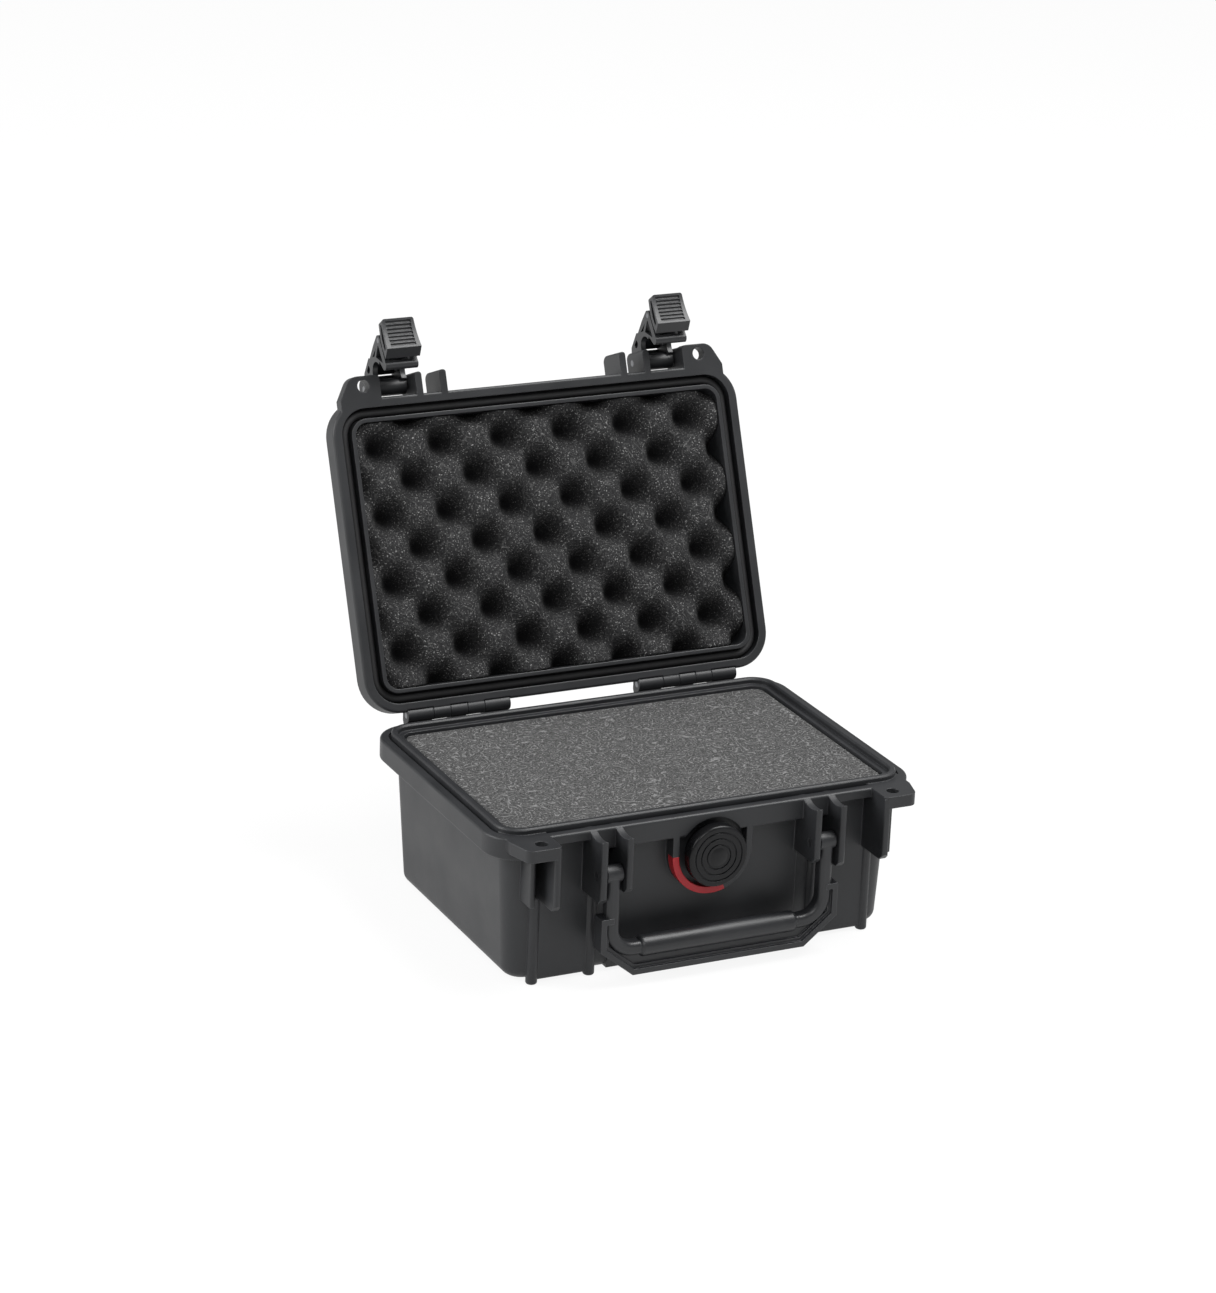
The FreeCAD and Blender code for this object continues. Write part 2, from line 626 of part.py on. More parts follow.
def lid_cavity(clearance=0.0, low=LID_LOW):
    high = LID_TOP - LID_TOP_THICK - clearance
    inset = CAVITY_INSET + clearance
    return tapered(lid_outline(low, inset, CAVITY_CORNER), lid_outline(high, inset, CAVITY_CORNER))


def seal_top():
    return MOUTH_HEIGHT + TONGUE_HEIGHT + SEAL_CLEARANCE + SEAL_SECTION


def lid_front():
    """The right-hand half of what stands on the lid's front: plates and padlock lug."""
    plates = [lid_plate(x_low) for x_low in (INNER_PLATE, MIDDLE_PLATE, LID_OUTER_PLATE)]
    lug = padlock_lug((LID_LOW, LID_LOW + LUG_THICK), LID_OUTER_PLATE, LID_LUG_REACH,
                      LID_LUG_CORNER_FROM_SIDE, LID_LUG_ROUND)
    return plates + [lug]


def lid_shell():
    rim = rim_prism(0, (LID_LOW, LID_RIM_HIGH), RIM_CORNER)
    rim = rim.makeFillet(RIM_ROUND, edges_at(rim, LID_LOW) + edges_at(rim, LID_RIM_HIGH))
    crown = tapered(lid_outline(LID_LOW, WALL_INSET, WALL_CORNER),
                    lid_outline(LID_TOP, WALL_INSET, WALL_CORNER))
    crown = crown.makeFillet(EDGE_ROUND, edges_at(crown, LID_TOP))
    rim = rim.cut(Part.makeCompound(hinge_reliefs(knuckle_spans()[0::2])))
    pieces = [rim, crown]
    for piece in lid_front():
        pieces += on_both_sides(piece)
    for span in knuckle_spans()[1::2]:
        pieces += on_both_sides(lid_knuckle(span))
    shell = fuse(pieces).cut(lid_cavity())
    clear = TONGUE_SIDE_CLEARANCE
    groove = rim_ring(TONGUE_INSET - clear, TONGUE_INSET + TONGUE_WIDTH + clear, (LID_LOW, seal_top()),
                      TONGUE_CORNER + clear)
    pin = arm_pin_rod(ARM_PIN_RADIUS + PIN_TIGHT_CLEARANCE)
    cuts = [groove] + on_both_sides(pin) + on_both_sides(hinge_bore(PIN_RUNNING_CLEARANCE))
    return shell.cut(Part.makeCompound(cuts))


def lid_seal():
    """The round rubber cord that lies at the bottom of the lid's groove."""
    inset = TONGUE_INSET + TONGUE_WIDTH / 2
    level = seal_top() - SEAL_SECTION / 2
    path = rim_outline(inset, level, TONGUE_CORNER - TONGUE_WIDTH / 2)
    start = path.Edges[1].Vertexes[0].Point
    along = path.Edges[1].tangentAt(path.Edges[1].FirstParameter)
    section = Part.Wire(Part.Circle(start, along, SEAL_SECTION / 2).toShape())
    ordered = Part.Wire(path.Edges[1:] + path.Edges[:1])
    return ordered.makePipeShell([section], True, False)


def lid_foam():
    """The egg-crate pad: a block with round hollows in a chequered pattern."""
    low = LID_LOW + LID_FOAM_STANDOFF
    pad = lid_cavity(FOAM_CLEARANCE, low)
    columns = int((RIM_LENGTH / 2 - CAVITY_INSET) / EGG_PITCH)
    rows = int((RIM_DEPTH / 2 - CAVITY_INSET) / EGG_PITCH)
    centre_z = low + EGG_DEPTH - EGG_RADIUS
    hollows = []
    for column in range(-columns, columns + 1):
        for row in range(-rows, rows + 1):
            centre = point(column * EGG_PITCH + EGG_SHIFT_X, row * EGG_PITCH + EGG_SHIFT_Y, centre_z)
            if (column + row) % 2 == 0:
                hollows.append(Part.makeSphere(EGG_RADIUS, centre))
    return pad.cut(Part.makeCompound(hollows))


def base_foam_block():
    """The pluck-apart block, with a hollow at the back of the front face for the valve's nut."""
    low = CAVITY_LOW + FLOOR_PAD_THICK
    block = base_cavity(FOAM_CLEARANCE, (low, MOUTH_HEIGHT - FOAM_BELOW_MOUTH))
    nut_back = valve_nut_front() + VALVE_NUT_THICK + VALVE_THREAD_BEYOND_NUT + 2 * FOAM_CLEARANCE
    relief = valve_rod((RIM_FRONT, nut_back), VALVE_NUT_FLATS / math.sqrt(3) + 2 * FOAM_CLEARANCE)
    return block.cut(relief)


def base_foam_pad():
    return base_cavity(FOAM_CLEARANCE, (CAVITY_LOW, CAVITY_LOW + FLOOR_PAD_THICK))


def hinge_pin():
    return hinge_bore(0)


def latch_point(x, down, inward):
    return point(x, ARM_Y + inward, ARM_Z - down)


def latch_rod(span, down, inward, radius):
    return rod_x(span, ARM_Y + inward, ARM_Z - down, radius)


def latch_span(width):
    """The X span of a piece of that width in the middle of the latch."""
    return (LATCH_CENTRE - width / 2, LATCH_CENTRE + width / 2)


def latch_prism(x_span, places):
    """A prism across the latch of the outline through some (down, in) places."""
    return polygon([latch_point(x_span[0], *place) for place in places], point(x_span[1] - x_span[0], 0, 0))


def arm_outer_face():
    """The outer side of the arm's profile, from its top to the foot of its web."""
    low_face = ARM_STEP - ARM_FACE
    return [(0, -ARM_FACE), (ARM_STEP_DOWN, -ARM_FACE), (ARM_STEP_DOWN + ARM_STEP, low_face),
            (ARM_WEB_LOW, low_face)]


def arm_profile():
    """A side plate's outline: down the outer face, round the lever's boss and back along the hook."""
    tangent = LEVER_BOSS_RADIUS * math.sqrt(0.5)
    foot = [(LEVER_PIVOT_DOWN, -LEVER_PIVOT_OUT - LEVER_BOSS_RADIUS),
            (LEVER_PIVOT_DOWN + tangent, tangent - LEVER_PIVOT_OUT),
            (HOOK_DOWN + HOOK_RADIUS, HOOK_IN), (HOOK_DOWN - HOOK_RADIUS, HOOK_IN)]
    inner = [(HOOK_DOWN - HOOK_RADIUS, ARM_ARCH_IN), (0, ARM_ARCH_IN), (-ARM_TOP_RISE, 0)]
    return [(-ARM_TOP_RISE, ARM_TOP_SLOPE - ARM_FACE)] + arm_outer_face() + foot + inner


def arm_windows(x_span):
    """The openings of a side plate: a round hole, the arch over the rims and two three-sided windows."""
    shoulder = (ARM_STEP_DOWN + ARM_STEP, ARM_STEP + ARM_SHOULDER_IN - ARM_FACE)
    apex = (LEVER_PIVOT_DOWN, -LEVER_PIVOT_OUT)
    crossing = (ARM_CROSS_DOWN, -ARM_CROSS_OUT)
    hook = (HOOK_DOWN, HOOK_IN)
    windows = [latch_rod(x_span, ARM_HOLE_DOWN, ARM_HOLE_WALL + ARM_HOLE_RADIUS - ARM_FACE, ARM_HOLE_RADIUS),
               latch_rod(x_span, ARM_ARCH_DOWN, ARM_ARCH_IN, ARM_ARCH_RADIUS)]
    for corners in ((shoulder, apex, crossing), (apex, hook, crossing)):
        wire = Part.makePolygon([latch_point(x_span[0], *corner) for corner in corners + corners[:1]])
        face = Part.Face(wire.makeOffset2D(-ARM_STRUT))
        windows.append(face.extrude(point(x_span[1] - x_span[0], 0, 0)))
    return windows


def latch_arm():
    """The hanging arm: two open side plates, the web between their outer edges and the hook bar."""
    left, right = latch_span(LATCH_WIDTH)
    pieces = [latch_rod((left, right), HOOK_DOWN, HOOK_IN, HOOK_RADIUS),
              latch_rod((left, right), 0, 0, ARM_BOSS_RADIUS)]
    outer = arm_outer_face()
    inner = [(down, inward + ARM_WEB) for down, inward in outer[::-1]]
    pieces.append(latch_prism((left, right), outer + inner))
    for side in ((left, left + ARM_PLATE), (right - ARM_PLATE, right)):
        pieces.append(latch_prism(side, arm_profile()).cut(Part.makeCompound(arm_windows(side))))
        pieces.append(latch_rod(side, LEVER_PIVOT_DOWN, -LEVER_PIVOT_OUT, LEVER_BOSS_RADIUS))
    arm = fuse(pieces)
    arm = arm.cut(latch_rod((left, right), 0, 0, ARM_PIN_RADIUS + PIN_RUNNING_CLEARANCE))
    lever_bore = latch_rod((left, right), LEVER_PIVOT_DOWN, -LEVER_PIVOT_OUT,
                           LEVER_PIN_RADIUS + PIN_TIGHT_CLEARANCE)
    return arm.cut(lever_bore)


def from_lever_pivot(down, inward):
    return (LEVER_PIVOT_DOWN + down, inward - LEVER_PIVOT_OUT)


def pad_place(share):
    """A place on the hollow thumb pad, at a share of the way from its tip to its lip."""
    tip = from_lever_pivot(LEVER_TIP_DOWN, -LEVER_TIP_OUT)
    lip = from_lever_pivot(LEVER_LIP_DOWN, LEVER_LIP_IN)
    run = (lip[0] - tip[0], lip[1] - tip[1])
    sink = 4 * LEVER_PAD_SAG * share * (1 - share) / math.hypot(*run)
    return (tip[0] + run[0] * share - run[1] * sink, tip[1] + run[1] * share + run[0] * sink)


def lever_corners():
    """The thumb lever's profile from its lip round the back to its tip; the pad closes it."""
    lip_low = from_lever_pivot(LEVER_LIP_DOWN - LEVER_LIP_HEIGHT, LEVER_LIP_IN + LEVER_LIP_LEAN)
    belly = from_lever_pivot(LEVER_BELLY_DOWN, LEVER_BELLY_IN)
    root = from_lever_pivot(LEVER_ROOT, LEVER_ROOT)
    heel = from_lever_pivot(LEVER_HEEL_DOWN, -LEVER_HEEL_OUT)
    return [pad_place(1), lip_low, belly, root, heel, pad_place(0)]


def lever_wedge():
    """The hollow-sided wedge of the thumb lever, narrower and rounded at its tip."""
    left, right = latch_span(LEVER_LIP_WIDTH)
    corners = lever_corners()
    pad = Part.Arc(*[latch_point(left, *pad_place(share)) for share in (0, 0.5, 1)]).toShape()
    outline = Part.Wire(chain([latch_point(left, *corner) for corner in corners]) + [pad])
    wedge = Part.Face(outline).extrude(point(right - left, 0, 0)).common(lever_taper())
    heel, tip = [latch_point(left, *corner) for corner in corners[-2:]]
    heights = [0, round(heel.z - tip.z, 6)]
    ends = [edge for edge in wedge.Edges
            if sorted(round(vertex.Z - tip.z, 6) for vertex in edge.Vertexes) == heights]
    wedge = wedge.makeFillet(LEVER_TIP_ROUND, ends)
    pocket = Part.makePolygon([latch_point(left, *corner) for corner in corners + corners[:1]])
    pocket = Part.Face(pocket.makeOffset2D(-LEVER_SKIN)).extrude(point(LEVER_POCKET, 0, 0))
    far_pocket = pocket.copy()
    far_pocket.translate(point(right - left - LEVER_POCKET, 0, 0))
    return wedge.cut(Part.makeCompound([pocket, far_pocket]))


def lever_taper():
    """A block that is as wide as the lever's lip there and as wide as its tip at the heel."""
    lip = latch_point(0, *lever_corners()[1])
    heel = latch_point(0, *lever_corners()[4])
    low = latch_point(0, *pad_place(0)).z
    wide, narrow = latch_span(LEVER_LIP_WIDTH), latch_span(LEVER_TIP_WIDTH)
    outline = [point(wide[0], lip.y, low), point(wide[1], lip.y, low), point(narrow[1], heel.y, low),
               point(narrow[0], heel.y, low)]
    return polygon(outline, point(0, 0, lip.z - low))


def latch_lever():
    """The thumb lever thrown open: a wedge with a grooved pad, hung on a lug between the arm's plates."""
    lug_span = latch_span(LATCH_WIDTH - 2 * ARM_PLATE - 2 * LEVER_LUG_GAP)
    pivot = from_lever_pivot(0, 0)
    stalk = [(0, -LEVER_LUG_RADIUS), (LEVER_HEEL_DOWN, LEVER_STALK_INSET - LEVER_HEEL_OUT),
             (LEVER_ROOT + LEVER_STALK_INSET, LEVER_ROOT + LEVER_STALK_INSET), (0, LEVER_LUG_RADIUS)]
    lug = latch_prism(lug_span, [from_lever_pivot(*place) for place in stalk])
    lever = fuse([lever_wedge(), lug, latch_rod(lug_span, *pivot, LEVER_LUG_RADIUS)])
    groove_span = latch_span(LATCH_WIDTH - 2 * LEVER_GROOVE_MARGIN)
    grooves = [latch_rod(groove_span, *pad_place((index + 1) / (LEVER_GROOVES + 1)), LEVER_GROOVE_RADIUS)
               for index in range(LEVER_GROOVES)]
    lever = lever.cut(Part.makeCompound(grooves))
    return lever.cut(latch_rod(lug_span, *pivot, LEVER_PIN_RADIUS + PIN_RUNNING_CLEARANCE))


def arm_pin_rod(radius):
    return rod_x((MIDDLE_PLATE, LID_OUTER_PLATE + PLATE_THICK), ARM_Y, ARM_Z, radius)


def latch_arm_pin():
    return arm_pin_rod(ARM_PIN_RADIUS)


def latch_lever_pin():
    return latch_rod(latch_span(LATCH_WIDTH), LEVER_PIVOT_DOWN, -LEVER_PIVOT_OUT, LEVER_PIN_RADIUS)


def handle_loop():
    """The U of the two arms and the bar: a rounded bar swept through two bends."""
    side = HANDLE_ARM
    top, low = HANDLE_PIVOT_HEIGHT, GRIP_HEIGHT
    bow = HANDLE_BEND * (1 - math.sqrt(0.5))

    def at(x, z):
        return point(x, HANDLE_Y, z)

    first = [at(-side, low + HANDLE_BEND), at(-side + bow, low + bow), at(-side + HANDLE_BEND, low)]
    last = [point(-stop.x, stop.y, stop.z) for stop in first[::-1]]
    path = Part.Wire([Part.LineSegment(at(-side, top), first[0]).toShape(), Part.Arc(*first).toShape(),
                      Part.LineSegment(first[2], last[0]).toShape(), Part.Arc(*last).toShape(),
                      Part.LineSegment(last[2], at(side, top)).toShape()])
    section = box((-side - HANDLE_ARM_WIDTH / 2, -side + HANDLE_ARM_WIDTH / 2),
                  (HANDLE_Y - HANDLE_ARM_DEPTH / 2, HANDLE_Y + HANDLE_ARM_DEPTH / 2), (top - 1, top))
    upright = [edge for edge in section.Edges if abs(edge.Vertexes[0].Z - edge.Vertexes[-1].Z) > 1e-6]
    section = section.makeFillet(HANDLE_ARM_ROUND, upright)
    top_face = max(section.Faces, key=lambda face: face.CenterOfMass.z)
    return path.makePipeShell([top_face.OuterWire], True, False)


def handle_frame():
    """The flat outer frame under the bar: a thin web with a wide band round its edge."""
    side = MIDDLE_PLATE + FRAME_SIDE_OUT
    corner = side - FRAME_CHAMFER
    top = PLATE_LOW - FRAME_BELOW_PLATES
    right = [(corner, FRAME_FLOOR_GAP), (side, FRAME_SHOULDER), (side, top)]
    outline = [(-x, z) for x, z in right[::-1]] + right
    wire = Part.makePolygon([point(x, HANDLE_Y, z) for x, z in outline + outline[:1]])
    face = Part.Face(wire)
    inner = Part.Face(wire.makeOffset2D(-FRAME_BAND))

    def slab(shape, thick):
        solid = shape.extrude(point(0, thick, 0))
        solid.translate(point(0, -thick / 2, 0))
        return solid

    ledge = Part.Face(wire.makeOffset2D(-FRAME_BAND - FRAME_LEDGE))
    band = slab(face, FRAME_BAND_DEPTH).cut(slab(inner, FRAME_BAND_DEPTH))
    step = slab(face, FRAME_LEDGE_DEPTH).cut(slab(ledge, FRAME_LEDGE_DEPTH))
    frame = fuse([band, step, slab(face, FRAME_WEB)])
    return frame.cut(handle_opening())


def handle_opening():
    """The space inside the loop, for the fingers."""
    deep = (HANDLE_Y - HANDLE_ARM_DEPTH, HANDLE_Y + HANDLE_ARM_DEPTH)
    bend_x = HANDLE_ARM - HANDLE_BEND
    bend_z = GRIP_HEIGHT + HANDLE_BEND
    corners = [rod_y(x, deep, bend_z, HANDLE_BEND) for x in (-bend_x, bend_x)]
    middle = box((-bend_x, bend_x), deep, (GRIP_HEIGHT, HANDLE_PIVOT_HEIGHT))
    upper = box((-HANDLE_ARM, HANDLE_ARM), deep, (bend_z, HANDLE_PIVOT_HEIGHT))
    return fuse([middle, upper] + corners)


def handle_grip():
    """The thick round middle of the bar, with eased ends."""
    grip = rod_x((-GRIP_HALF_LENGTH, GRIP_HALF_LENGTH), HANDLE_Y, GRIP_HEIGHT, GRIP_RADIUS)
    ends = [edge for edge in grip.Edges if edge.isClosed()]
    return grip.makeFillet(GRIP_SHOULDER, ends)


def carry_handle():
    pieces = [handle_loop(), handle_grip(), handle_frame()]
    half = HANDLE_BAY / 2 - HANDLE_EYE_GAP
    for centre in (-HANDLE_ARM, HANDLE_ARM):
        pieces.append(rod_x((centre - half, centre + half), HANDLE_Y, HANDLE_PIVOT_HEIGHT, HANDLE_EYE_RADIUS))
    handle = fuse(pieces)
    reach = HANDLE_ARM + HANDLE_BAY
    bore = rod_x((-reach, reach), HANDLE_Y, HANDLE_PIVOT_HEIGHT, HANDLE_PIN_RADIUS + PIN_RUNNING_CLEARANCE)
    return handle.cut(bore)


def handle_pin():
    return rod_x((INNER_PLATE, MIDDLE_PLATE + PLATE_THICK), HANDLE_Y, HANDLE_PIVOT_HEIGHT, HANDLE_PIN_RADIUS)


def valve_rod(y_span, radius):
    return rod_y(0, y_span, VALVE_HEIGHT, radius)


def valve_flange_back():
    return -VALVE_FACE - VALVE_GASKET_THICK


def valve_flange_front():
    return valve_flange_back() - VALVE_FLANGE_THICK


def valve_nut_front():
    """The nut bears on the inside of the front wall, where the wall stands furthest in."""
    low = VALVE_HEIGHT - VALVE_NUT_FLATS / math.sqrt(3)
    return RIM_FRONT + CAVITY_INSET + (MOUTH_HEIGHT - low) * FRONT_DRAFT


def valve_body():
    """The stem through the wall with its outer flange, air bore and the seat of the membrane."""
    end = valve_nut_front() + VALVE_NUT_THICK + VALVE_THREAD_BEYOND_NUT
    body = fuse([valve_rod((valve_flange_back(), end), VALVE_STEM_RADIUS),
                 valve_rod((valve_flange_front(), valve_flange_back()), VALVE_FLANGE_RADIUS)])
    seat = valve_rod((valve_flange_front(), valve_flange_front() + VALVE_MEMBRANE_THICK),
                     VALVE_MEMBRANE_RADIUS + VALVE_STEM_CLEARANCE)
    return body.cut(Part.makeCompound([seat, valve_rod((valve_flange_front(), end), VALVE_AIR_RADIUS)]))


def valve_membrane():
    span = (valve_flange_front(), valve_flange_front() + VALVE_MEMBRANE_THICK)
    return valve_rod(span, VALVE_MEMBRANE_RADIUS)


def valve_gasket():
    span = (valve_flange_back(), -VALVE_FACE)
    outer = VALVE_STEM_RADIUS + VALVE_STEM_CLEARANCE + VALVE_GASKET_WIDTH
    return valve_rod(span, outer).cut(valve_rod(span, VALVE_STEM_RADIUS + VALVE_STEM_CLEARANCE))


def valve_nut():
    front = valve_nut_front()
    corner = VALVE_NUT_FLATS / math.sqrt(3)
    turns = [math.radians(60 * k) for k in range(6)]
    corners = [point(corner * math.cos(turn), front, VALVE_HEIGHT + corner * math.sin(turn))
               for turn in turns]
    nut = polygon(corners, point(0, VALVE_NUT_THICK, 0))
    return nut.cut(valve_rod((front, front + VALVE_NUT_THICK), VALVE_STEM_RADIUS + VALVE_STEM_CLEARANCE))


def valve_cap():
    """The round cap pressed over the flange, turned with ring grooves and a low dome in the middle."""
    front = valve_flange_front() - VALVE_CAP_WALL
    back = front + VALVE_CAP_THICK
    cap = valve_rod((front, back), VALVE_CAP_RADIUS)
    cap = cap.makeFillet(VALVE_CAP_ROUND, [edge for edge in cap.Edges
                                           if edge.isClosed() and abs(edge.CenterOfMass.y - front) < 1e-6])
    cuts = [valve_rod((valve_flange_front(), back), VALVE_FLANGE_RADIUS + VALVE_STEM_CLEARANCE)]
    for index in range(VALVE_RING_GROOVES):
        outer = VALVE_RING_FIRST + VALVE_RING_STEP * index
        span = (front, front + VALVE_RING_GROOVE)
        cuts.append(valve_rod(span, outer).cut(valve_rod(span, outer - VALVE_RING_GROOVE)))
    centre = point(0, front + VALVE_DOME_RADIUS - VALVE_RING_GROOVE, VALVE_HEIGHT)
    dome = Part.makeSphere(VALVE_DOME_RADIUS, centre)
    dome = dome.common(valve_rod((front - VALVE_CAP_WALL, front + VALVE_CAP_WALL / 2), VALVE_DOME_REACH))
    return fuse([cap.cut(Part.makeCompound(cuts)), dome])


def valve_seat_ring():
    """The red piece that forms the lower left part of the valve's lip."""
    return valve_lip().common(red_sector())


def opened(shape):
    """Turns a piece of the closed lid to the open position."""
    return shape.copy().rotate(point(0, HINGE_Y, HINGE_Z), X_AXIS, -LID_OPEN_ANGLE)


def swung(shape):
    """Swings a piece of the fastened latch out to its open place on the closed lid."""
    return shape.copy().rotate(point(0, ARM_Y, ARM_Z), X_AXIS, -ARM_SWING_ANGLE)


def single_pieces():
    return {
        "base_shell": base_shell(),
        "base_foam_pad": base_foam_pad(),
        "base_foam_block": base_foam_block(),
        "valve_body": valve_body(),
        "valve_gasket": valve_gasket(),
        "valve_membrane": valve_membrane(),
        "valve_nut": valve_nut(),
        "valve_cap": valve_cap(),
        "valve_seat_ring": valve_seat_ring(),
        "carry_handle": carry_handle(),
        "lid_shell": opened(lid_shell()),
        "lid_seal": opened(lid_seal()),
        "lid_foam": opened(lid_foam()),
    }


def paired_pieces():
    return {
        "hinge_pin": hinge_pin(),
        "handle_pin": handle_pin(),
        "latch_arm_pin": opened(latch_arm_pin()),
        "latch_arm": opened(swung(latch_arm())),
        "latch_lever_pin": opened(swung(latch_lever_pin())),
        "latch_lever": opened(swung(latch_lever())),
    }


def export(name, shape):
    solids = shape.Solids
    if len(solids) != 1 or not shape.isValid():
        print("CHECK", name, "solids", len(solids), "valid", shape.isValid())
    solids[0].exportStep(f"parts/{name}.step")
    print(f"{name}: {solids[0].Volume / 1000:.2f} cm3")


def main():
    os.makedirs("parts", exist_ok=True)
    for name, shape in single_pieces().items():
        export(name, shape)
    for name, shape in paired_pieces().items():
        export(name + "_right", shape)
        export(name + "_left", mirrored(shape))


main()
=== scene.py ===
# %% [markdown]
# # A small protective case
# The hard pieces of this case (shells, hinges, latches, handle, valve) come from a CAD model that is
# already packed, and they stay exactly where it puts them. This lesson dresses that model: it gives every
# moulded piece a finish, makes the foam as real soft pieces, adds one small wall to each latch arm, and
# sets up a plain studio with the photograph's camera.

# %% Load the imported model
import json
import math

import bmesh
import bpy
from mathutils import Matrix, Vector


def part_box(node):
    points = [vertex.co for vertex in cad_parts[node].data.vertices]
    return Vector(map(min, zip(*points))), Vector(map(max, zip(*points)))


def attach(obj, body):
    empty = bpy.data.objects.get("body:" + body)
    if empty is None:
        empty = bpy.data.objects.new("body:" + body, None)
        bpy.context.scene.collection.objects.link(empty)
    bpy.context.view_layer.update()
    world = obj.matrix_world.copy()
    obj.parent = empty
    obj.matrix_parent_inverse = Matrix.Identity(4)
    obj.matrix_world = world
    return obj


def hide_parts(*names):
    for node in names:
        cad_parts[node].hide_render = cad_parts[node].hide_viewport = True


MM = 0.001
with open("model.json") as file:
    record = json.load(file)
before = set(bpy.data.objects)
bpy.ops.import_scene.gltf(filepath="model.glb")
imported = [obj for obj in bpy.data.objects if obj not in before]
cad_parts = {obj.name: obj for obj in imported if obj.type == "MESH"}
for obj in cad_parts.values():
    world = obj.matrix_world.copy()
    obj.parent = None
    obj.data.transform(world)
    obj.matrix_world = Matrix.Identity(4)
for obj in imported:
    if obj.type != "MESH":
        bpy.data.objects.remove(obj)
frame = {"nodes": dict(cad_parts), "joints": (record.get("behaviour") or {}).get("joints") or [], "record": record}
nodes = frame["nodes"]
joints = {joint["name"]: joint for joint in frame["joints"]}
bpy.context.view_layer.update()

# %% [markdown]
# ## Colours and nodes
# Colours are written as they look on a screen, in hex. Blender mixes light in linear values, so one function
# turns a hex colour into linear numbers. A second small function adds a shader node: its options go in by
# name, and each of its sockets gets either a plain value or the output of another node. The others save
# writing: a noise whose grains have a given width, a mix of two colours, a change of range, one step of
# arithmetic, an empty material, and the surface that ends a material.

# %% Helpers for materials


def linear(hex_colour):
    """A screen colour such as #2a2b2d as the linear red, green, blue and alpha that Blender mixes."""
    shares = [int(hex_colour[place:place + 2], 16) / 255 for place in (1, 3, 5)]
    return [c / 12.92 if c <= 0.04045 else ((c + 0.055) / 1.055) ** 2.4 for c in shares] + [1.0]


def add(tree, kind, sockets=(), **options):
    """Adds one shader node, sets its options, and fills its sockets with values or links."""
    node = tree.nodes.new("ShaderNode" + kind)
    for option, value in options.items():
        setattr(node, option, value)
    for socket, source in dict(sockets).items():
        if isinstance(source, bpy.types.NodeSocket):
            tree.links.new(source, node.inputs[socket])
        else:
            node.inputs[socket].default_value = source
    return node


def noise(tree, place, width, detail):
    """A soft noise with grains about as wide as the given length."""
    return add(tree, "TexNoise", {"Vector": place, "Scale": 1 / width, "Detail": detail}).outputs[0]


def blend(tree, share, first, second):
    """A colour between two others."""
    return add(tree, "Mix", {0: share, 6: first, 7: second}, data_type="RGBA").outputs[2]


def stretch(tree, value, start, end, low=0.0, high=1.0):
    """Moves the values between start and end to the range from low to high."""
    limits = {"From Min": start, "From Max": end, "To Min": low, "To Max": high}
    return add(tree, "MapRange", {"Value": value, **limits}).outputs["Result"]


def calculate(tree, operation, *values):
    """One step of arithmetic on up to three values."""
    return add(tree, "Math", dict(enumerate(values)), operation=operation).outputs[0]


def new_material(name):
    """An empty node material and its tree."""
    material = bpy.data.materials.new(name)
    material.use_nodes = True
    material.node_tree.nodes.clear()
    return material, material.node_tree


def object_place(tree):
    """Where a point lies on its object, in metres."""
    return add(tree, "TexCoord").outputs["Object"]


def finish_surface(tree, sockets):
    """Ends a material with a Principled surface."""
    shader = add(tree, "BsdfPrincipled", sockets)
    add(tree, "OutputMaterial", {"Surface": shader.outputs[0]})


print("grey 128 is", round(linear("#808080")[0], 3), "in linear light")

# %% [markdown]
# ## Moulded plastic
# The shells are injection moulded polypropylene, black all through. The mould is spark eroded, which leaves
# a fine even grain, so the surface is satin: it has no sharp reflections, but it catches pale light at a flat
# angle. Corners that hands and shelves rub become a little smoother and greyer, and the edges are also
# painted lighter as a highlight on their rounding. A plain roughness value would look like painted card, so
# the grain is a fine bump, the roughness drifts slowly over the piece, and the edges are found by comparing
# the face's own direction with a rounded copy of it.

# %% One recipe for all the moulded plastics
DRIFT_WIDTH = 24 * MM
DRIFT_FROM, DRIFT_TO = 0.3, 0.7
DRIFT_SHARE = 0.12
DRIFT_ROUGHNESS = 0.05
# The edge mask's range and how far it lightens the colour: partly wear, partly painted highlight.
EDGE_WEAR_AND_HIGHLIGHT_FROM, EDGE_WEAR_AND_HIGHLIGHT_TO, EDGE_WEAR_AND_HIGHLIGHT_SHARE = 0.985, 0.82, 0.55
RUBBED_ROUGHNESS = -0.12


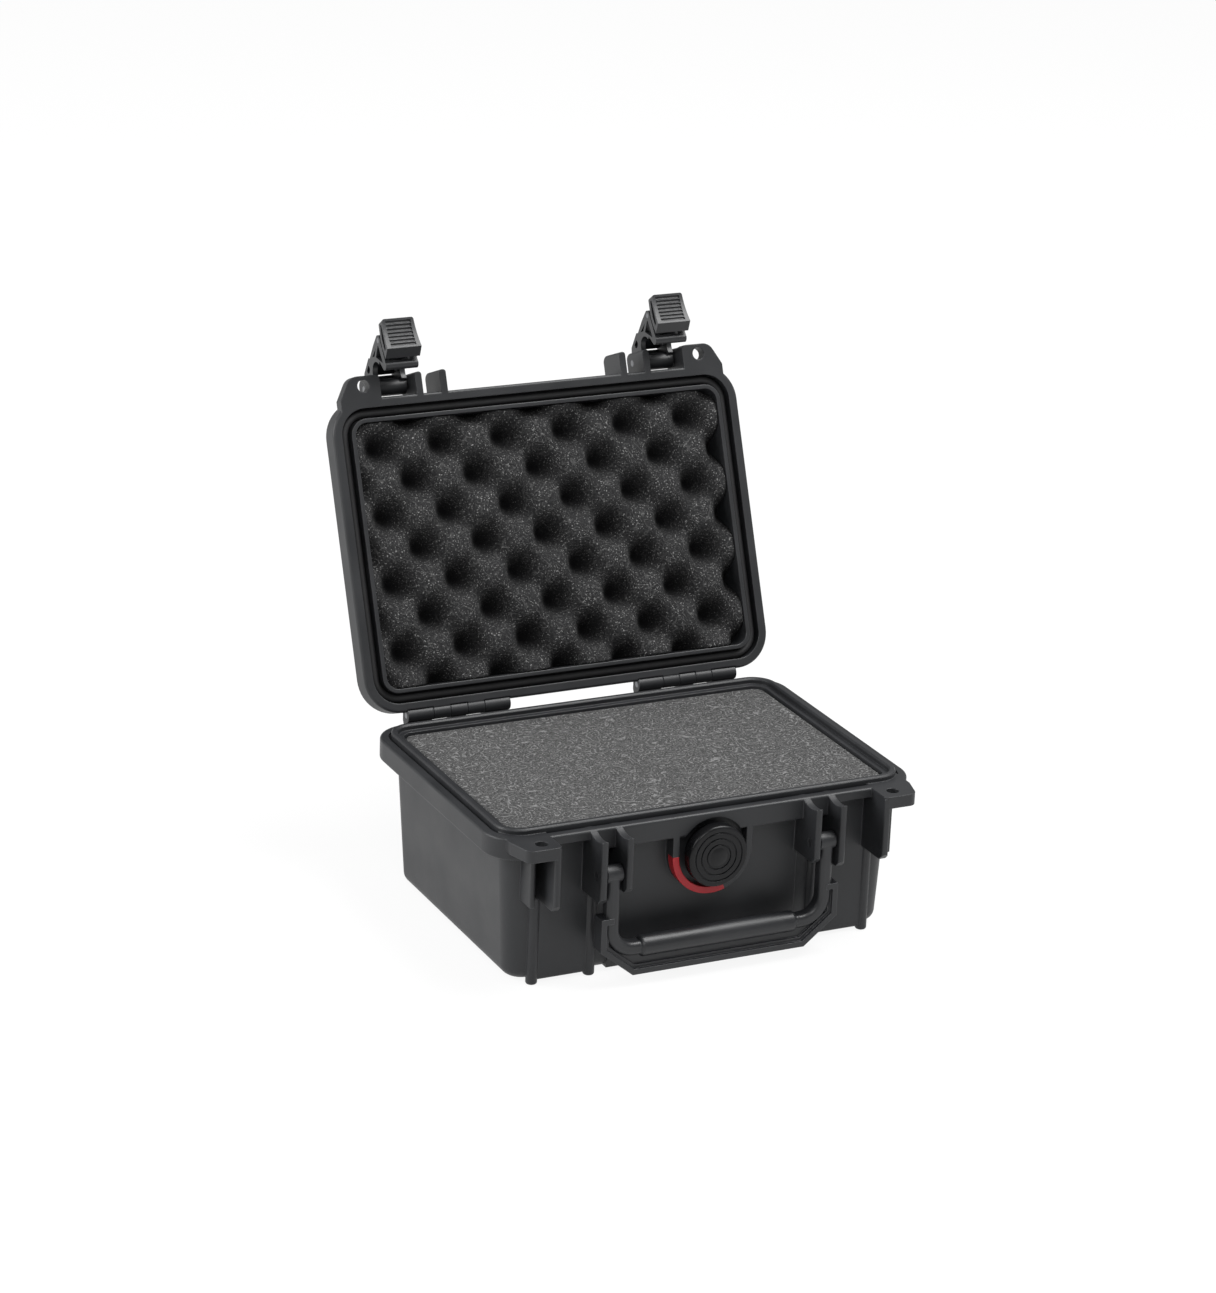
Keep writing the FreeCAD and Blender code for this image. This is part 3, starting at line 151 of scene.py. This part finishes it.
def moulded_plastic(name, colour, worn_and_highlight, roughness, grain, relief, gleam=0.5, edge=0.7 * MM):
    """Satin plastic: the two colours are hex, and the second one also lightens the edges, partly as wear and
    partly as a painted highlight; grain and relief are the texture's width and height.
    """
    material, tree = new_material(name)
    place = object_place(tree)
    rounded = add(tree, "Bevel", {"Radius": edge}, samples=6).outputs["Normal"]
    facing = add(tree, "NewGeometry").outputs["Normal"]
    alike = add(tree, "VectorMath", {0: rounded, 1: facing}, operation="DOT_PRODUCT").outputs["Value"]
    # Lighter, smoother edges: partly wear, partly a painted highlight on the rounding.
    edge_wear_and_highlight = stretch(tree, alike, EDGE_WEAR_AND_HIGHLIGHT_FROM, EDGE_WEAR_AND_HIGHLIGHT_TO, 0.0, EDGE_WEAR_AND_HIGHLIGHT_SHARE)
    drift = noise(tree, place, DRIFT_WIDTH, 3.0)
    uneven = stretch(tree, drift, DRIFT_FROM, DRIFT_TO, 0.0, DRIFT_SHARE)
    fresh = blend(tree, uneven, linear(colour), linear(worn_and_highlight))
    satin = stretch(tree, drift, DRIFT_FROM, DRIFT_TO, roughness - DRIFT_ROUGHNESS,
                    roughness + DRIFT_ROUGHNESS)
    grit = noise(tree, place, grain, 2.0)
    bump = add(tree, "Bump", {"Strength": 0.6, "Distance": relief, "Height": grit, "Normal": rounded})
    finish_surface(tree, {
        "Base Color": blend(tree, edge_wear_and_highlight, fresh, linear(worn_and_highlight)),
        "Roughness": calculate(tree, "MULTIPLY_ADD", edge_wear_and_highlight, RUBBED_ROUGHNESS, satin),
        "Normal": bump.outputs[0],
        "IOR": 1.49,
        "Specular IOR Level": gleam,
    })
    return material


# %% The five plastics
# The second colour of each plastic also lightens its edges, partly as wear and partly as painted highlight.
# The real grain is about 0.15 mm wide; it is drawn four to five times as coarse, to show in the picture.
# Polypropylene of both shells, with the spark grain.
shell_plastic = moulded_plastic("polypropylene_spark_grain", "#1c1d1f", "#3a3b3e", 0.46,
                                0.6 * MM, 0.05 * MM, 0.42)
# Polypropylene of the handle, from a smoother mould.
handle_plastic = moulded_plastic("polypropylene_smooth_grip", "#18191b", "#3c3d41", 0.42,
                                 0.8 * MM, 0.02 * MM, 0.46)
# Nylon of the latches; their grooves are fine, so the rounded edge is small.
latch_plastic = moulded_plastic("nylon_satin_latch", "#1b1c1e", "#36373b", 0.42,
                                0.7 * MM, 0.006 * MM, edge=0.2 * MM)
# Nylon of the valve, blacker and smoother than the shells.
valve_plastic = moulded_plastic("nylon_black_valve", "#0a0a0b", "#2e2f32", 0.28,
                                0.7 * MM, 0.01 * MM, 0.24, 0.4 * MM)
# The red arc at the valve, coloured all through.
red_plastic = moulded_plastic("red_moulded_ring", "#86121a", "#a32229", 0.40,
                              0.7 * MM, 0.02 * MM, 0.3)
plastics = (shell_plastic, handle_plastic, latch_plastic, valve_plastic, red_plastic)
print("plastics:", [plastic.name for plastic in plastics])

# %% [markdown]
# ## Rubber, membrane and steel
# The seal is a solid rubber cord: dull, very dark, with a faint bloom. The valve's membrane is a pale pressed
# fibre sheet. The pins are dull drawn steel, so their fine lines run along the pin, which lies along X.

# %% The three small materials


def rubber(name, colour, bloom):
    """Dull black rubber with a faint grey bloom in patches."""
    material, tree = new_material(name)
    place = object_place(tree)
    patches = noise(tree, place, 6 * MM, 4.0)
    pores = noise(tree, place, 0.5 * MM, 2.0)
    bump = add(tree, "Bump", {"Strength": 0.5, "Distance": 0.04 * MM, "Height": pores})
    shade = blend(tree, patches, linear(colour), linear(bloom))
    finish_surface(tree, {"Base Color": shade, "Roughness": 0.72, "Normal": bump.outputs[0], "IOR": 1.52})
    return material


def fibre_sheet(name, colour, shadow):
    """Pressed pale fibre with a fine felted grain."""
    material, tree = new_material(name)
    place = object_place(tree)
    felt = noise(tree, place, 0.4 * MM, 4.0)
    bump = add(tree, "Bump", {"Strength": 0.4, "Distance": 0.05 * MM, "Height": felt})
    shade = blend(tree, felt, linear(shadow), linear(colour))
    finish_surface(tree, {"Base Color": shade, "Roughness": 0.9, "Normal": bump.outputs[0]})
    return material


def drawn_steel(name, colour):
    """Stainless pin wire: lines 0.1 mm apart, drawn out along X."""
    material, tree = new_material(name)
    place = object_place(tree)
    along = add(tree, "Mapping", {"Vector": place, "Scale": (0.02, 1.0, 1.0)}).outputs[0]
    lines = noise(tree, along, 0.1 * MM, 3.0)
    bump = add(tree, "Bump", {"Strength": 0.3, "Distance": 0.01 * MM, "Height": lines})
    polish = stretch(tree, lines, 0.0, 1.0, 0.22, 0.42)
    finish_surface(tree, {"Base Color": linear(colour), "Metallic": 1.0, "Roughness": polish,
                          "Normal": bump.outputs[0]})
    return material


seal_rubber = rubber("black_seal_rubber", "#0d0d0e", "#1a1a1c")
membrane_fibre = fibre_sheet("pressed_membrane_fibre", "#d8d7d2", "#b9b8b2")
pin_steel = drawn_steel("drawn_stainless_steel", "#77787b")
print("small materials:", seal_rubber.name, membrane_fibre.name, pin_steel.name)

# %% [markdown]
# ## Hand the finishes to the CAD nodes
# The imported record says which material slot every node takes. A table from slot to material is enough: each
# node keeps its mesh and only gets a better material. The foam's slots are missing here, because the foam
# nodes are replaced further down.

# %% Dress the hard pieces
finish_of = {"shell": shell_plastic, "handle": handle_plastic, "latch": latch_plastic,
             "valve": valve_plastic, "red_ring": red_plastic, "seal": seal_rubber,
             "membrane": membrane_fibre, "pin_steel": pin_steel}
slot_of = {part["node"]: part["material_slot"] for part in frame["record"]["subparts"]}
for name, node in nodes.items():
    if slot_of[name] in finish_of:
        node.data.materials.clear()
        node.data.materials.append(finish_of[slot_of[name]])
print("dressed", sum(slot in finish_of for slot in slot_of.values()), "nodes")

# %% [markdown]
# ## Open-cell foam
# Both foams are soft polyurethane with open cells. Light goes into the cells and hardly comes back, so the
# foam has no gloss, and the eye sees a speckle: the blade leaves curled strokes of torn cells, with dark
# pores between them and a few bright cell walls that catch the light. Level lines of a soft noise give the
# strokes, and a second noise breaks them into short curls. A Voronoi pattern gives the pores, and the flecks
# are the part of a fine noise that rises above a threshold. Less light comes back from the bottom of a hollow,
# so a value stored with the mesh, called hollow, darkens the foam there as painted shade.

# %% One recipe for both foams
SWIRL_WIDTH = 6 * MM
STROKE_STEP, STROKE_EDGE = 0.07, 0.028
CURL_WIDTH = 2.4 * MM
CURL_FROM, CURL_TO = 0.36, 0.54
CELL_WIDTH = 0.9 * MM
PORE_DEPTH = -0.6
PORE_LEVEL, SKIN_LEVEL = -0.5, 0.75
FLECK_WIDTH = 0.7 * MM
FLECK_EDGE = 0.1


def torn_cells(tree, place):
    """The height of the foam's torn face: short curled strokes over pores."""
    swirl = noise(tree, place, SWIRL_WIDTH, 0.6)
    strokes = stretch(tree, calculate(tree, "PINGPONG", swirl, STROKE_STEP), STROKE_EDGE, 0.0)
    kept = stretch(tree, noise(tree, place, CURL_WIDTH, 1.0), CURL_FROM, CURL_TO)
    curls = calculate(tree, "MULTIPLY", strokes, kept)
    cells = add(tree, "TexVoronoi", {"Vector": place, "Scale": 1 / CELL_WIDTH}).outputs["Distance"]
    return calculate(tree, "MULTIPLY_ADD", cells, PORE_DEPTH, curls)


def open_cell_foam(name, pore, skin, fleck, hollow_shade, flecks_above):
    """Matt foam: hex colours for the pores, the torn skins, the flecks and the painted shade in a hollow."""
    material, tree = new_material(name)
    place = object_place(tree)
    height = torn_cells(tree, place)
    ground = blend(tree, stretch(tree, height, PORE_LEVEL, SKIN_LEVEL), linear(pore), linear(skin))
    spark = noise(tree, place, FLECK_WIDTH, 1.0)
    lit = stretch(tree, spark, flecks_above, flecks_above + FLECK_EDGE)
    flecked = blend(tree, lit, ground, linear(fleck))
    # The hollow value darkens the foam toward the fourth colour: painted shade in the hollows.
    hollow = add(tree, "Attribute", attribute_name="hollow").outputs["Fac"]
    bump = add(tree, "Bump", {"Strength": 0.8, "Distance": 0.4 * MM, "Height": height})
    finish_surface(tree, {
        "Base Color": blend(tree, hollow, flecked, linear(hollow_shade)),
        "Roughness": 0.95,
        "Normal": bump.outputs[0],
        "Specular IOR Level": 0.12,
    })
    return material


# Real cells are about 0.6 mm wide; they are drawn at 0.9 mm so that they show from this distance.
# The fourth colour of each foam is painted shade for the hollows; only the lid's pad stores hollow values.
base_foam = open_cell_foam("grey_polyurethane_foam", "#2e2e2e", "#767676", "#929291", "#2e2e2e", 0.64)
lid_foam = open_cell_foam("charcoal_polyurethane_foam", "#222223", "#474747", "#888887", "#0a0a0b", 0.63)
print("foams:", base_foam.name, lid_foam.name)

# %% [markdown]
# ## A new piece takes its place
# Each new piece is built in a bmesh, becomes an object at the origin and rides on the body that carries it.
# A foam piece also stands for its CAD solid. All three foams are soft.

# %% Put a piece into the scene


def place_piece(bm, name, body, material):
    """Turns a finished bmesh into an object that rides on one body."""
    mesh = bpy.data.meshes.new(name)
    bm.to_mesh(mesh)
    bm.free()
    mesh.materials.append(material)
    piece = bpy.data.objects.new(name, mesh)
    bpy.context.collection.objects.link(piece)
    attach(piece, body)
    return piece


def place_foam(bm, name, node, body, material):
    """Turns a finished bmesh into a soft piece that replaces one CAD node."""
    bmesh.ops.recalc_face_normals(bm, faces=bm.faces)
    piece = place_piece(bm, name, body, material)
    piece.data.shade_smooth()
    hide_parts(node)
    print(name, "has", len(piece.data.polygons), "faces and stands for", node)


# %% [markdown]
# ## The egg-crate pad in the lid
# Convoluted foam is cut by squeezing a sheet between two knobbed rollers and slicing it, so hills and hollows
# follow two crossed cosine waves. A flat grid gets those waves as height, its corners are drawn in to the
# rounded outline, and its edge is extruded back to the lid. The CAD solid is measured with the lid shut,
# where all of this is square to the axes, and the finished pad is turned open about the hinge at the end.

# %% Measure the lid's pad with the lid shut


def turned_back(joint):
    """The turn about X that takes a piece from the end of its joint's range back to the drawn pose."""
    return Matrix.Rotation(-math.radians(joint["range_deg"][1]), 4, "X")


to_hinge = Matrix.Translation(Vector(joints["lid_hinge"]["pos_m"]))
open_lid = to_hinge @ turned_back(joints["lid_hinge"]) @ to_hinge.inverted()
shut_lid = open_lid.inverted()
shut_pad = [shut_lid @ vertex.co for vertex in nodes["lid_foam"].data.vertices]
pad_low = Vector([min(corner[axis] for corner in shut_pad) for axis in range(3)])
pad_high = Vector([max(corner[axis] for corner in shut_pad) for axis in range(3)])
pad_half = (pad_high - pad_low) / 2
print("lid pad, shut:", [round(side / MM, 1) for side in 2 * pad_half], "mm")

# %% Shape the hills and hollows
CRATE_PITCH = 15.7 * MM
CRATE_SHIFT = Vector((-1.5, -1.8)) * MM
CRATE_DEPTH = 14.0 * MM
CRATE_COLUMNS, CRATE_ROWS = 170, 114
PAD_CORNER = 6.1 * MM
PAD_DRAFT = math.tan(math.radians(3))


def hollow_share(x, y):
    """How low the foam's face lies at a point: 1 in the hollows and 0 on the hills; the same share sets the
    painted shade there.
    """
    wave_x = math.cos(math.pi * (x - CRATE_SHIFT.x) / CRATE_PITCH)
    wave_y = math.cos(math.pi * (y - CRATE_SHIFT.y) / CRATE_PITCH)
    return (0.5 + 0.5 * wave_x * wave_y) ** 2


def round_corner(point):
    """Draws a point of the grid's square corner in to the pad's rounded corner."""
    over_x = abs(point.x) - (pad_half.x - PAD_CORNER)
    over_y = abs(point.y) - (pad_half.y - PAD_CORNER)
    reach = math.hypot(over_x, over_y)
    if over_x > 0 and over_y > 0 and reach > PAD_CORNER:
        point.x -= math.copysign(over_x * (1 - PAD_CORNER / reach), point.x)
        point.y -= math.copysign(over_y * (1 - PAD_CORNER / reach), point.y)


bm = bmesh.new()
# The hollow layer keeps each point's share, which the foam turns into painted shade.
hollow = bm.verts.layers.float.new("hollow")
bmesh.ops.create_grid(bm, x_segments=CRATE_COLUMNS, y_segments=CRATE_ROWS, size=1.0)
bmesh.ops.scale(bm, vec=(pad_half.x, pad_half.y, 1.0), verts=bm.verts)
for vertex in bm.verts:
    round_corner(vertex.co)
    vertex[hollow] = hollow_share(vertex.co.x, vertex.co.y)
    vertex.co.z = CRATE_DEPTH * vertex[hollow]
print("egg-crate face:", len(bm.faces), "faces")

# %% Close the pad behind and open it with the lid
edge_ring = [edge for edge in bm.edges if edge.is_boundary]
pulled = bmesh.ops.extrude_edge_only(bm, edges=edge_ring)["geom"]
thickness = pad_high.z - pad_low.z
for vertex in [item for item in pulled if isinstance(item, bmesh.types.BMVert)]:
    vertex.co.x -= math.copysign(thickness * PAD_DRAFT, vertex.co.x)
    vertex.co.y -= math.copysign(thickness * PAD_DRAFT, vertex.co.y)
    vertex.co.z = thickness
bmesh.ops.holes_fill(bm, edges=[edge for edge in bm.edges if edge.is_boundary], sides=0)
pad_middle = Vector(((pad_low.x + pad_high.x) / 2, (pad_low.y + pad_high.y) / 2, pad_low.z))
bmesh.ops.transform(bm, matrix=open_lid @ Matrix.Translation(pad_middle), verts=bm.verts)
place_foam(bm, "lid_egg_crate_foam", "lid_foam", "lid", lid_foam)

# %% [markdown]
# ## The block and the floor pad in the base
# The base is filled with a block of pluck-apart foam on a thin loose pad. Both are cut with a blade, so their
# faces are flat and only the edges are a little tired. The CAD solids have the right outline, with the hollow
# for the valve's nut, so a merged copy of each is the start: its flat triangles are dissolved into whole
# faces, and the rims of its top and bottom are beveled into soft edges.

# %% Soften the cut edges of the two blocks
BLOCK_EDGE = 1.2 * MM
FLOOR_PAD_EDGE = 0.8 * MM
SAME_POINT = 0.001 * MM
SAME_LEVEL = 0.01 * MM


def cut_foam(node, soft_edge):
    """A copy of a foam block's CAD mesh with soft upper and lower edges."""
    bm = bmesh.new()
    bm.from_mesh(nodes[node].data)
    bmesh.ops.remove_doubles(bm, verts=bm.verts, dist=SAME_POINT)
    bmesh.ops.dissolve_limit(bm, angle_limit=math.radians(1), verts=bm.verts, edges=bm.edges)
    levels = [corner.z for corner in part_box(node)]
    rims = [edge for edge in bm.edges for level in levels
            if all(abs(vertex.co.z - level) < SAME_LEVEL for vertex in edge.verts)]
    bmesh.ops.bevel(bm, geom=rims, offset=soft_edge, offset_type="OFFSET", segments=3, profile=0.5,
                    affect="EDGES", material=-1)
    bmesh.ops.triangulate(bm, faces=bm.faces)
    return bm


block = cut_foam("base_foam_block", BLOCK_EDGE)
place_foam(block, "base_pluck_foam", "base_foam_block", "base", base_foam)
floor_pad = cut_foam("base_foam_pad", FLOOR_PAD_EDGE)
place_foam(floor_pad, "base_floor_foam", "base_foam_pad", "base", base_foam)

# %% [markdown]
# ## The upper wall of the latch arms
# Each latch arm is moulded as a trough: between its two side plates a wall runs up the outer face and over
# the top to the pin. The CAD arm has the outer wall, and this short piece carries it over to the pin, so that
# no daylight shows between them. The wall lies square to the fastened arm, so it is drawn there, with the lid
# shut, and then turned through the same two angles as the arm: about the arm's pin and about the lid's hinge.

# %% Make one wall for each arm
WALL_WIDTH = 11.0 * MM
WALL_THICK = 1.6 * MM
WALL_RISE = 1.5 * MM
WALL_OUTER, WALL_INNER = -8.5 * MM, -2.4 * MM


def arm_wall(side):
    """A thin plate between the side plates of one latch arm, over its pin."""
    joint = joints["arm_swing_" + side]
    swing = Matrix.Translation(shut_lid @ Vector(joint["pos_m"])) @ turned_back(joint)
    bm = bmesh.new()
    bmesh.ops.create_cube(bm, size=1.0)
    bmesh.ops.scale(bm, vec=(WALL_WIDTH, WALL_INNER - WALL_OUTER, WALL_THICK), verts=bm.verts)
    bmesh.ops.translate(bm, vec=(0, (WALL_OUTER + WALL_INNER) / 2, WALL_RISE), verts=bm.verts)
    bmesh.ops.transform(bm, matrix=open_lid @ swing, verts=bm.verts)
    return place_piece(bm, "latch_arm_wall_" + side, "arm_" + side, latch_plastic)


print("walls:", [arm_wall(side).name for side in ("left", "right")])

# %% [markdown]
# ## Studio
# The photograph is a plain product shot: the case on white, in soft light. A pale floor carries the shadow. A
# wide light overhead and one at the left give the shells their form, a smaller one in front picks out edges,
# and a pale world fills the rest. The camera and the reflections see the floor mixed with plain white, so
# that it reads as a white background and still keeps the shadow.

# %% Floor
FLOOR_HALF = 9.0
FLOOR_DROP = -0.1 * MM
FLOOR_WHITE_SHARE = 0.9


def pale_floor():
    """A matt pale floor that the camera and reflections see as nearly white."""
    material, tree = new_material("pale_studio_floor")
    ray = add(tree, "LightPath").outputs
    seen = calculate(tree, "MAXIMUM", ray["Is Camera Ray"], ray["Is Glossy Ray"])
    seen = calculate(tree, "MAXIMUM", seen, ray["Is Transmission Ray"])
    share = calculate(tree, "MULTIPLY", seen, FLOOR_WHITE_SHARE)
    matt = add(tree, "BsdfDiffuse", {"Color": linear("#eeeeee")}).outputs[0]
    white = add(tree, "Emission", {"Color": linear("#ffffff"), "Strength": 1.0}).outputs[0]
    both = add(tree, "MixShader", {0: share, 1: matt, 2: white}).outputs[0]
    add(tree, "OutputMaterial", {"Surface": both})
    return material


bm = bmesh.new()
bmesh.ops.create_grid(bm, x_segments=1, y_segments=1, size=FLOOR_HALF)
bmesh.ops.translate(bm, vec=(0, 0, FLOOR_DROP), verts=bm.verts)
floor_mesh = bpy.data.meshes.new("studio_floor")
bm.to_mesh(floor_mesh)
bm.free()
floor_mesh.materials.append(pale_floor())
floor = bpy.data.objects.new("studio_floor", floor_mesh)
bpy.context.collection.objects.link(floor)
print("floor:", 2 * FLOOR_HALF, "m wide")

# %% World and lights
WORLD_STRENGTH = 0.35
CASE_MIDDLE = Vector((0, 0, 0.1))


def softbox(name, place, size, power):
    """A square light that looks at the case."""
    light = bpy.data.lights.new(name, "AREA")
    light.size = size
    light.energy = power
    lamp = bpy.data.objects.new(name, light)
    lamp.location = place
    lamp.rotation_euler = (CASE_MIDDLE - Vector(place)).to_track_quat("-Z", "Y").to_euler()
    bpy.context.collection.objects.link(lamp)


world = bpy.data.worlds.new("studio_world")
bpy.context.scene.world = world
world.use_nodes = True
world.node_tree.nodes.clear()
sky = add(world.node_tree, "Background", {"Color": linear("#ffffff"), "Strength": WORLD_STRENGTH})
add(world.node_tree, "OutputWorld", {"Surface": sky.outputs[0]})
softbox("overhead_light", (0.95, -0.3, 2.1), 1.5, 72.0)
softbox("left_light", (-2.2, 0.6, 1.2), 1.4, 60.0)
softbox("front_light", (-0.9, -1.9, 1.9), 0.8, 20.0)

# %% [markdown]
# ## Camera
# The camera was found by matching measured corners of the case with their places in the photograph: it stands
# at the front left, a little above, with a long lens. Yaw turns it about Z, pitch tips it down and roll tilts
# it; all three are in radians.

# %% Set the camera
EYE = Vector((-757.7, -1486.9, 731.2)) * MM
YAW, PITCH, ROLL = -0.46105, 0.34973, -0.03918
FOCAL_PIXELS, IMAGE_HEIGHT, SENSOR = 3991.8, 1293, 36.0
forward = Vector((-math.sin(YAW), math.cos(YAW), 0))
ahead = math.cos(PITCH) * forward - math.sin(PITCH) * Vector((0, 0, 1))
level = Vector((math.cos(YAW), math.sin(YAW), 0))
down = ahead.cross(level)
right = math.cos(ROLL) * level + math.sin(ROLL) * down
lower = -math.sin(ROLL) * level + math.cos(ROLL) * down
camera = bpy.data.objects.new("photo_camera", bpy.data.cameras.new("photo_camera"))
camera.data.sensor_width = SENSOR
camera.data.lens = FOCAL_PIXELS * SENSOR / IMAGE_HEIGHT
camera.matrix_world = Matrix.Translation(EYE) @ Matrix((right, -lower, -ahead)).transposed().to_4x4()
bpy.context.collection.objects.link(camera)
bpy.context.scene.camera = camera
bpy.context.scene.view_settings.view_transform = "Standard"
print("lens", round(camera.data.lens, 1), "mm")
